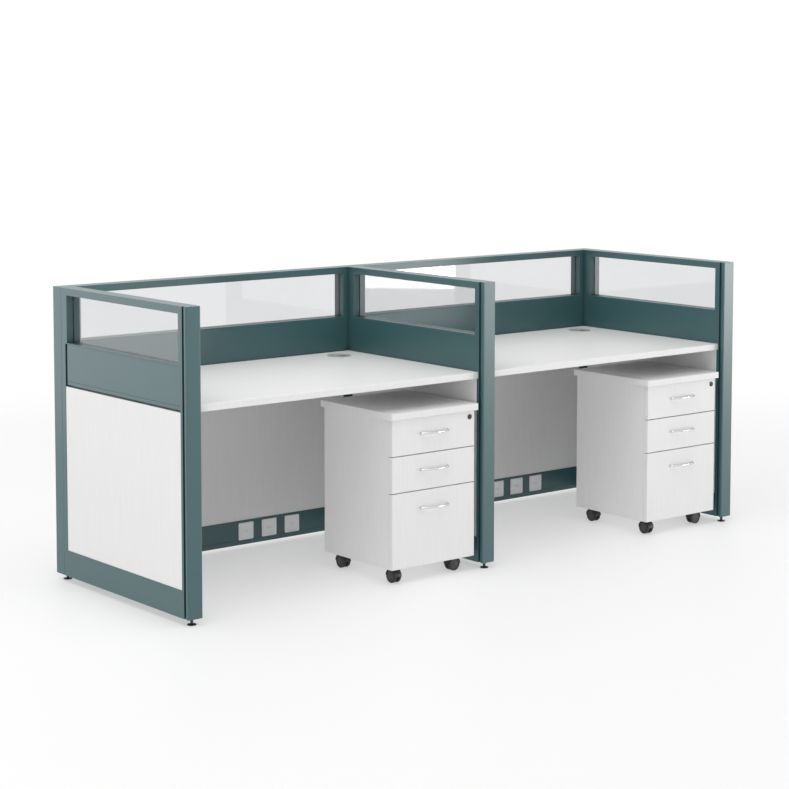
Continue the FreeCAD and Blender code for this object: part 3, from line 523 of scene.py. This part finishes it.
sleeve = settle(sleeve, "left_grommet_sleeve", grey_abs)

add_cylinder(cap_radius, CAP_THICK, (hole_x, hole_y, high.z - CAP_THICK / 2), steps=FINE_STEPS)
cap = opened()
pick_faces(cap, lambda centre, normal: normal.z > SQUARE_ON)
bpy.ops.mesh.inset(thickness=CAP_RIM)
extrude(0, 0, -CAP_DISH)
bpy.ops.object.mode_set(mode="OBJECT")
slot_y = hole_y - cap_radius + (CABLE_SLOT - SLOT_PAST) / 2
pierced(cap, (hole_x, slot_y, high.z - CAP_THICK / 2),
        (CABLE_SLOT, CABLE_SLOT + SLOT_PAST, CAP_THICK * 3))
rounded(cap, 0.4 * MM)
cap = settle(cap, "left_grommet_disc", grey_abs)
bay_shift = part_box("right_grommet_cap")[0] - cap_low
sleeves = [sleeve, copied(sleeve, "right_grommet_sleeve", bay_shift)]
for piece in sleeves:
    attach(piece, "workstation")
    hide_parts("grommet_sleeves")
caps = {"left": cap, "right": copied(cap, "right_grommet_disc", bay_shift)}
for side in SIDES:
    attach(caps[side], f"{side}_grommet_cap")
    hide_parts(f"{side}_grommet_cap")


# Socket outlets in the base wireway, three in each bay.
# Glossy white urea mouldings with a recessed face and two contact slots; the plate snaps
# over a box screwed to the rail.
UREA_WHITE = "#f5f5f6"
UREA_SHADE = "#f0f0f1"
UREA_FLOW = 30 * MM
PLATE = (70 * MM, 3 * MM, 68 * MM)
PLATE_CORNER = 4 * MM
PLATE_RIM = 6 * MM
PLATE_RECESS = MM
RECESS_SLOPE = 1.2 * MM
BACK_BOX = (50 * MM, 17 * MM, 50 * MM)
CONTACT = (3 * MM, 12 * MM, 9 * MM)
CONTACT_PITCH = 13 * MM
SOCKET_PITCH = 111.25 * MM


def pick_edges(piece, wanted):
    """In edit mode, select only the edges that a test of their two ends takes."""
    bpy.ops.mesh.select_mode(type="EDGE")
    bpy.ops.mesh.select_all(action="DESELECT")
    bpy.ops.object.mode_set(mode="OBJECT")
    points = piece.data.vertices
    for line in piece.data.edges:
        line.select = wanted(points[line.vertices[0]].co, points[line.vertices[1]].co)
    bpy.ops.object.mode_set(mode="EDIT")


def in_recess(centre, normal):
    """Whether a face of the plate lies on the floor of its recess."""
    return normal.y < -SQUARE_ON and centre.y > low.y + PLATE_RECESS / 2


def on_contact(centre, normal):
    """Whether a face of the recess is the mouth of one of the two contacts."""
    return (in_recess(centre, normal) and abs(centre.z - middle.z) < CONTACT[2] / 2
            and abs(abs(centre.x - middle.x) - CONTACT_PITCH / 2) < CONTACT[0] / 2)


def on_corner(start, end):
    """Whether an edge of the plate runs through its thickness at a corner."""
    return (abs(start.y - end.y) > PLATE[1] / 2
            and abs(start.x - middle.x) > PLATE[0] / 2 - MM)


urea, tree, where = start_material("glossy_urea_moulding")
colour = between(tree, noise(tree, where, UREA_FLOW, 2.0), UREA_SHADE, UREA_WHITE)
end_material(tree, {"Base Color": colour}, {"Roughness": 0.18})

low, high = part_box("socket_outlets")
middle = Vector((low.x + PLATE[0] / 2, low.y + PLATE[1] / 2, (low.z + high.z) / 2))
bpy.ops.mesh.primitive_cube_add(size=1, location=middle, scale=PLATE)
plate = opened()
pick_faces(plate, lambda centre, normal: normal.y > SQUARE_ON)
bpy.ops.mesh.inset(thickness=PLATE_RIM)
bpy.ops.transform.resize(value=(BACK_BOX[0] / (PLATE[0] - 2 * PLATE_RIM), 1,
                                BACK_BOX[2] / (PLATE[2] - 2 * PLATE_RIM)),
                         center_override=middle)
extrude(0, BACK_BOX[1], 0)
pick_faces(plate, lambda centre, normal: normal.y < -SQUARE_ON)
bpy.ops.mesh.inset(thickness=PLATE_RIM)
bpy.ops.mesh.inset(thickness=RECESS_SLOPE, depth=-PLATE_RECESS)
for hand in (-1, 1):
    for edge_x in (-CONTACT[0] / 2, CONTACT[0] / 2):
        pick_faces(plate, in_recess)
        cut_x = hand * CONTACT_PITCH / 2 + edge_x
        bpy.ops.mesh.bisect(plane_co=middle + Vector((cut_x, 0, 0)), plane_no=(1, 0, 0))
    pick_faces(plate, in_recess)
    cut_z = hand * CONTACT[2] / 2
    bpy.ops.mesh.bisect(plane_co=middle + Vector((0, 0, cut_z)), plane_no=(0, 0, 1))
pick_faces(plate, on_contact)
extrude(0, CONTACT[1], 0)
pick_edges(plate, on_corner)
bpy.ops.mesh.bevel(offset=PLATE_CORNER, segments=6, affect="EDGES")
bpy.ops.object.mode_set(mode="OBJECT")
rounded(plate, 0.5 * MM, 3)
plate = settle(plate, "left_outlet_1", urea)
plates = [plate]
for side, along in (("left", 0), ("right", bay_shift.x)):
    for number in (1, 2, 3):
        if (side, number) != ("left", 1):
            shift = (along + SOCKET_PITCH * (number - 1), 0, 0)
            plates.append(copied(plate, f"{side}_outlet_{number}", shift))
for piece in plates:
    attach(piece, "workstation")
    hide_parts("socket_outlets")


# Levelling feet: a disc, a neck with a nut, and a stud that screws into the post.
# Injection-moulded black nylon, filled with glass fibre, satin and a little dusty; the
# hoods and tyres of the casters are moulded in the same.
NYLON_BLACK = "#0f1011"
NYLON_DUST = "#1b1c1e"
DUST = 7 * MM
FOOT_DISC = 32 * MM
FOOT_HEIGHT = 5 * MM
FOOT_EDGE = 3 * MM           # height of the disc's straight edge, and width of its flat ring
FOOT_GAP = 24 * MM           # floor to the underside of the partitions
FOOT_NECK = 10 * MM
FOOT_STUD = 8 * MM
NUT = 17 * MM                # across the corners
NUT_HEIGHT = 6 * MM

nylon, tree, where = start_material("moulded_black_nylon")
dust = noise(tree, where, DUST, 4.0)
end_material(tree, {"Base Color": between(tree, dust, NYLON_BLACK, NYLON_DUST),
                    "Normal": soft_edge(tree, SMALL_EDGE)}, {"Roughness": 0.45})

low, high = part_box("levelling_feet")
foot_x, foot_y = low.x + FOOT_DISC / 2, low.y + FOOT_DISC / 2
add_cylinder(FOOT_DISC / 2, FOOT_EDGE, (foot_x, foot_y, FOOT_EDGE / 2))
foot = opened()
pick_faces(foot, lambda centre, normal: normal.z > SQUARE_ON)
bpy.ops.mesh.inset(thickness=FOOT_EDGE)
bpy.ops.mesh.inset(thickness=FOOT_DISC / 2 - FOOT_EDGE - FOOT_NECK / 2 - MM)
bpy.ops.transform.translate(value=(0, 0, FOOT_HEIGHT - FOOT_EDGE))
bpy.ops.mesh.inset(thickness=MM)
extrude(0, 0, FOOT_GAP - FOOT_HEIGHT)
bpy.ops.mesh.inset(thickness=(FOOT_NECK - FOOT_STUD) / 2)
extrude(0, 0, high.z - FOOT_GAP)
add_cylinder(NUT / 2, NUT_HEIGHT, (foot_x, foot_y, FOOT_GAP - NUT_HEIGHT / 2 - MM), steps=6)
bpy.ops.object.mode_set(mode="OBJECT")
rounded(foot, 0.5 * MM)
foot = settle(foot, "left_front_levelling_foot", nylon)
feet = [foot]
for side, across in (("left", -1), ("middle", 0), ("right", 1)):
    for end, y in (("front", foot_y), ("rear", high.y - FOOT_DISC / 2)):
        if (side, end) != ("left", "front"):
            shift = (-foot_x * (across + 1), y - foot_y, 0)
            feet.append(copied(foot, f"{side}_{end}_levelling_foot", shift))
for piece in feet:
    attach(piece, "workstation")
    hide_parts("levelling_feet")


# Pedestal casters: twin wheels under a hood, with a collar and a stem.
# Moulded in black nylon, with grey nylon hubs pressed onto a steel axle. The stem turns
# in a bored hole in the pedestal's floor.
HUB_GREY = "#404143"
HUB_DARK = "#353638"
TYRE_WALL = 6 * MM
TYRE_ROUND = 2.2 * MM
HUB_DISH = (0.8 * MM, 1.6 * MM)        # width of the slope, and depth
HUB_RING = 7.5 * MM          # from the tyre in to the hub's cap
HUB_CAP = (0.6 * MM, 1.3 * MM)         # width of the slope, and height
HUB_CROWN = (2.5 * MM, 0.3 * MM)
WHEEL_STEPS = 60
WHEEL_GAP = 0.5 * MM
FULL_ON = 0.999              # the same as SQUARE_ON, but without the rounded edge
SPOKES = 5
SPOKE_ANGLE = 19             # degrees
SPOKE_START = 6
SPOKE_RISE = MM
HOOD_WALL = 1.8 * MM
WEB = 9 * MM
WEB_RADIUS = 20 * MM
NECK = 20 * MM
NECK_TOP = 56.7 * MM
NECK_SUNK = 8 * MM           # how far the neck starts below the top of the hood
STEM = 10 * MM
TRAIL = 15 * MM
PLACES = ("front_left", "front_right", "rear_left", "rear_right")
HEADINGS = {"front_left": 180, "front_right": 90, "rear_left": 180, "rear_right": 0}


def on_spoke(centre, normal):
    """Whether a face of the hub lies on one of its spokes."""
    radius = math.hypot(centre.y - axle.y, centre.z - axle.z)
    turned = math.degrees(math.atan2(centre.z - axle.z, centre.y - axle.y)) + SPOKE_START
    return (normal.x > SQUARE_ON and cap_edge < radius < tyre_radius - MM
            and turned % (360 / SPOKES) < SPOKE_ANGLE)


hub_grey, tree, where = start_material("moulded_grey_nylon_hub")
dust = noise(tree, where, DUST, 4.0)
end_material(tree, {"Base Color": between(tree, dust, HUB_DARK, HUB_GREY)},
             {"Roughness": 0.5})

low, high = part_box("left_front_left_caster_wheels")
axle = (low + high) / 2
wheel_radius = (high.z - low.z) / 2
wheel_width = (high.x - low.x - WEB) / 2 - WHEEL_GAP
tyre_radius = wheel_radius - TYRE_WALL
cap_edge = tyre_radius - HUB_RING
add_cylinder(wheel_radius, wheel_width, (high.x - wheel_width / 2, axle.y, axle.z), ALONG_X,
             steps=WHEEL_STEPS)
wheels = opened()
pick_edges(wheels, lambda start, end: abs(start.x - end.x) < MM)
bpy.ops.mesh.bevel(offset=TYRE_ROUND, segments=4, affect="EDGES")
pick_faces(wheels, lambda centre, normal: normal.x > FULL_ON)
bpy.ops.mesh.inset(thickness=TYRE_WALL - TYRE_ROUND)
bpy.ops.mesh.inset(thickness=HUB_DISH[0], depth=-HUB_DISH[1])
bpy.ops.mesh.inset(thickness=HUB_RING - HUB_DISH[0])
bpy.ops.mesh.inset(thickness=HUB_CAP[0], depth=HUB_CAP[1])
bpy.ops.mesh.inset(thickness=HUB_CROWN[0], depth=HUB_CROWN[1])
pick_faces(wheels, on_spoke)
extrude(SPOKE_RISE, 0, 0)
bpy.ops.mesh.select_all(action="SELECT")
bpy.ops.mesh.duplicate()
bpy.ops.transform.rotate(value=math.pi, orient_axis="Z", center_override=axle)
bpy.ops.object.mode_set(mode="OBJECT")
wheels = settle(wheels, "left_front_left_twin_wheels", nylon)
wheels.data.materials.append(hub_grey)
for face in wheels.data.polygons:
    radius = math.hypot(face.center.y - axle.y, face.center.z - axle.z)
    if radius < tyre_radius and abs(face.center.x - axle.x) > WEB:
        face.material_index = 1

shell_low, shell_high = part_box("left_front_left_caster_housing")
hood_radius = (shell_high.y - shell_low.y) / 2
neck_low = axle.z + hood_radius - NECK_SUNK
neck_y = axle.y + TRAIL
add_cylinder(hood_radius, high.x - low.x, axle, ALONG_X, steps=FINE_STEPS, ends="NOTHING")
hood = opened()
bpy.ops.mesh.select_all(action="SELECT")
bpy.ops.mesh.bisect(plane_co=axle, plane_no=(0, 0, 1), clear_inner=True)
bpy.ops.object.mode_set(mode="OBJECT")
wall = hood.modifiers.new("wall", "SOLIDIFY")
wall.thickness = HOOD_WALL
wall.offset = -1
bpy.ops.object.modifier_apply(modifier=wall.name)
bpy.ops.object.mode_set(mode="EDIT")
add_cylinder(hood_radius - HOOD_WALL / 2, WEB, axle, ALONG_X, steps=FINE_STEPS)
bpy.ops.mesh.bisect(plane_co=axle, plane_no=(0, 0, 1), use_fill=True, clear_inner=True)
add_cylinder(WEB_RADIUS, WEB, axle, ALONG_X)
add_cylinder(NECK / 2, NECK_TOP - neck_low, (axle.x, neck_y, (NECK_TOP + neck_low) / 2))
add_cylinder(STEM / 2, shell_high.z - NECK_TOP + MM,
             (axle.x, neck_y, (shell_high.z + NECK_TOP - MM) / 2))
bpy.ops.mesh.select_all(action="SELECT")
bpy.ops.mesh.normals_make_consistent(inside=False)
bpy.ops.object.mode_set(mode="OBJECT")
rounded(hood, 0.6 * MM)
hood = settle(hood, "left_front_left_caster_hood", nylon)
for side in SIDES:
    for place in PLACES:
        name = f"{side}_{place}"
        hub_low, hub_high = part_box(name + "_caster_wheels")
        shift = (hub_low + hub_high) / 2 - axle
        turn = math.radians(HEADINGS[place] - HEADINGS["front_left"])
        pair = (wheels, hood)
        if name != "left_front_left":
            pair = (copied(wheels, name + "_twin_wheels", shift, turn, axle),
                    copied(hood, name + "_caster_hood", shift, turn, axle))
        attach(pair[0], name + "_caster_wheels")
        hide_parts(name + "_caster_wheels")
        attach(pair[1], name + "_caster")
        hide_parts(name + "_caster_housing")


# Studio: a pale floor, a white surround, four soft lamps and a black cloth.
# The surround lights the object from all sides; camera, mirror and glass rays see it
# pure white. The key hangs overhead, three low banks give the upright faces their sheen,
# and the cloth, which only soft light meets, takes the glare off the drawer fronts.
SURROUND = 0.69
WHITE = (1, 1, 1, 1)
LAMPS = {                    # place, what it faces, width and height in metres, radiance
    "key_lamp": ((-1.2, -1.2, 4.8), (0.0, 0.0, 0.4), (4.5, 4.5), 1.7),
    "right_front_bank": ((7.0, -6.3, 0.5), (0.8, -0.4, 0.5), (4.0, 1.0), 14.5),
    "left_rear_bank": ((-3.2, 2.9, 0.9), (-1.3, 0.0, 0.8), (2.4, 1.7), 0.9),
    "left_front_bank": ((-5.0, -3.2, 0.9), (0.0, 0.0, 0.4), (3.0, 1.8), 1.9)}
FLOOR_SIZE = 60.0
FLOOR_WHITE = "#bcbcbc"
FLOOR_GLOW = 0.35            # the sweep is lit from behind too, so its shadows stay pale
FLOOR_LIFT = 0.42            # the same, as camera, mirror and glass rays see it
FADE_NEAR, FADE_FAR = 2.2, 5.0         # metres out, where the floor turns into the surround
CLOTH = (9.0, 4.5)
CLOTH_AHEAD = 7.0
CLOTH_BLACK = "#0c0c0d"
CLOTH_PALE = "#161617"
CLOTH_WEAVE = 20 * MM


def seen_by(tree):
    """One for camera, mirror and glass rays, and zero for the rays of soft light."""
    path = add(tree, "LightPath").outputs
    seen = add(tree, "Math", {0: path["Is Camera Ray"], 1: path["Is Glossy Ray"]},
               operation="MAXIMUM")
    return add(tree, "Math", {0: seen.outputs[0], 1: path["Is Transmission Ray"]},
               operation="MAXIMUM").outputs[0]


world = bpy.data.worlds.new("white_surround")
world.use_nodes = True
tree = world.node_tree
tree.nodes.clear()
sky = add(tree, "Background", {"Strength": spread(tree, seen_by(tree), SURROUND, 1.0)},
          {"Color": WHITE})
add(tree, "OutputWorld", {"Surface": sky.outputs[0]})
bpy.context.scene.world = world

for name, (place, facing, (width, height), radiance) in LAMPS.items():
    lamp_data = bpy.data.lights.new(name, "AREA")
    lamp_data.shape = "RECTANGLE"
    lamp_data.size = width
    lamp_data.size_y = height
    lamp_data.energy = radiance * math.pi * width * height
    lamp = bpy.data.objects.new(name, lamp_data)
    lamp.location = place
    lamp.rotation_euler = (Vector(place) - Vector(facing)).to_track_quat("Z", "Y").to_euler()
    lamp.visible_camera = False
    lamp.visible_transmission = False
    bpy.context.collection.objects.link(lamp)

bpy.ops.mesh.primitive_plane_add(size=FLOOR_SIZE)
floor = bpy.context.object
floor.name = "studio_floor"
paper, tree, where = start_material("white_backdrop_paper")
away = add(tree, "VectorMath", {0: where}, operation="LENGTH")
fade = add(tree, "MapRange", {"Value": away.outputs["Value"]},
           {"From Min": FADE_NEAR, "From Max": FADE_FAR}, interpolation_type="SMOOTHSTEP")
seen = seen_by(tree)
near = add(tree, "BsdfPrincipled",
           {"Emission Strength": spread(tree, seen, FLOOR_GLOW, FLOOR_LIFT)},
           {"Base Color": linear(FLOOR_WHITE), "Roughness": 0.55, "Emission Color": WHITE})
far = add(tree, "Emission", values={"Color": WHITE, "Strength": 1.0})
faded = add(tree, "Math", {0: fade.outputs["Result"], 1: seen}, operation="MULTIPLY")
blend = add(tree, "MixShader", {0: faded.outputs[0], 1: near.outputs[0], 2: far.outputs[0]})
add(tree, "OutputMaterial", {"Surface": blend.outputs[0]})
floor.data.materials.append(paper)

bpy.ops.mesh.primitive_plane_add(size=1, location=(0, -CLOTH_AHEAD, CLOTH[1] / 2),
                                 rotation=ALONG_Y)
cloth = bpy.context.object
bpy.ops.transform.resize(value=(CLOTH[0], 1, CLOTH[1]))
bpy.ops.object.transform_apply(location=True, rotation=True, scale=True)
cloth.name = "studio_cloth"
duvetyne, tree, where = start_material("black_duvetyne_cloth")
colour = between(tree, noise(tree, where, CLOTH_WEAVE, 2.0), CLOTH_BLACK, CLOTH_PALE)
end_material(tree, {"Base Color": colour}, {"Roughness": 1.0, "IOR": 1.0})
cloth.data.materials.append(duvetyne)
cloth.visible_camera = False
cloth.visible_glossy = False
cloth.visible_transmission = False


# Camera, where the photograph was taken from: a long lens, well above the partitions,
# looking from the left front. The frame is shifted down, so that the upright edges stay
# nearly upright while the object sits at the photograph's height.
SENSOR = 36                  # millimetres, as the lens
LENS = 94.58
FRAME_SHIFT = -0.18
CAMERA_PLACE = (-5.1100, -6.2335, 1.8568)
LOOK_DOWN = 4.854            # degrees below level
LOOK_RIGHT = 38.763          # degrees from the back wall's normal towards the right

camera_data = bpy.data.cameras.new("camera")
camera_data.sensor_width = SENSOR
camera_data.lens = LENS
camera_data.shift_y = FRAME_SHIFT
camera = bpy.data.objects.new("camera", camera_data)
camera.location = CAMERA_PLACE
camera.rotation_euler = (math.radians(90 - LOOK_DOWN), 0, math.radians(-LOOK_RIGHT))
bpy.context.collection.objects.link(camera)
bpy.context.scene.camera = camera
bpy.context.scene.view_settings.view_transform = "Standard"
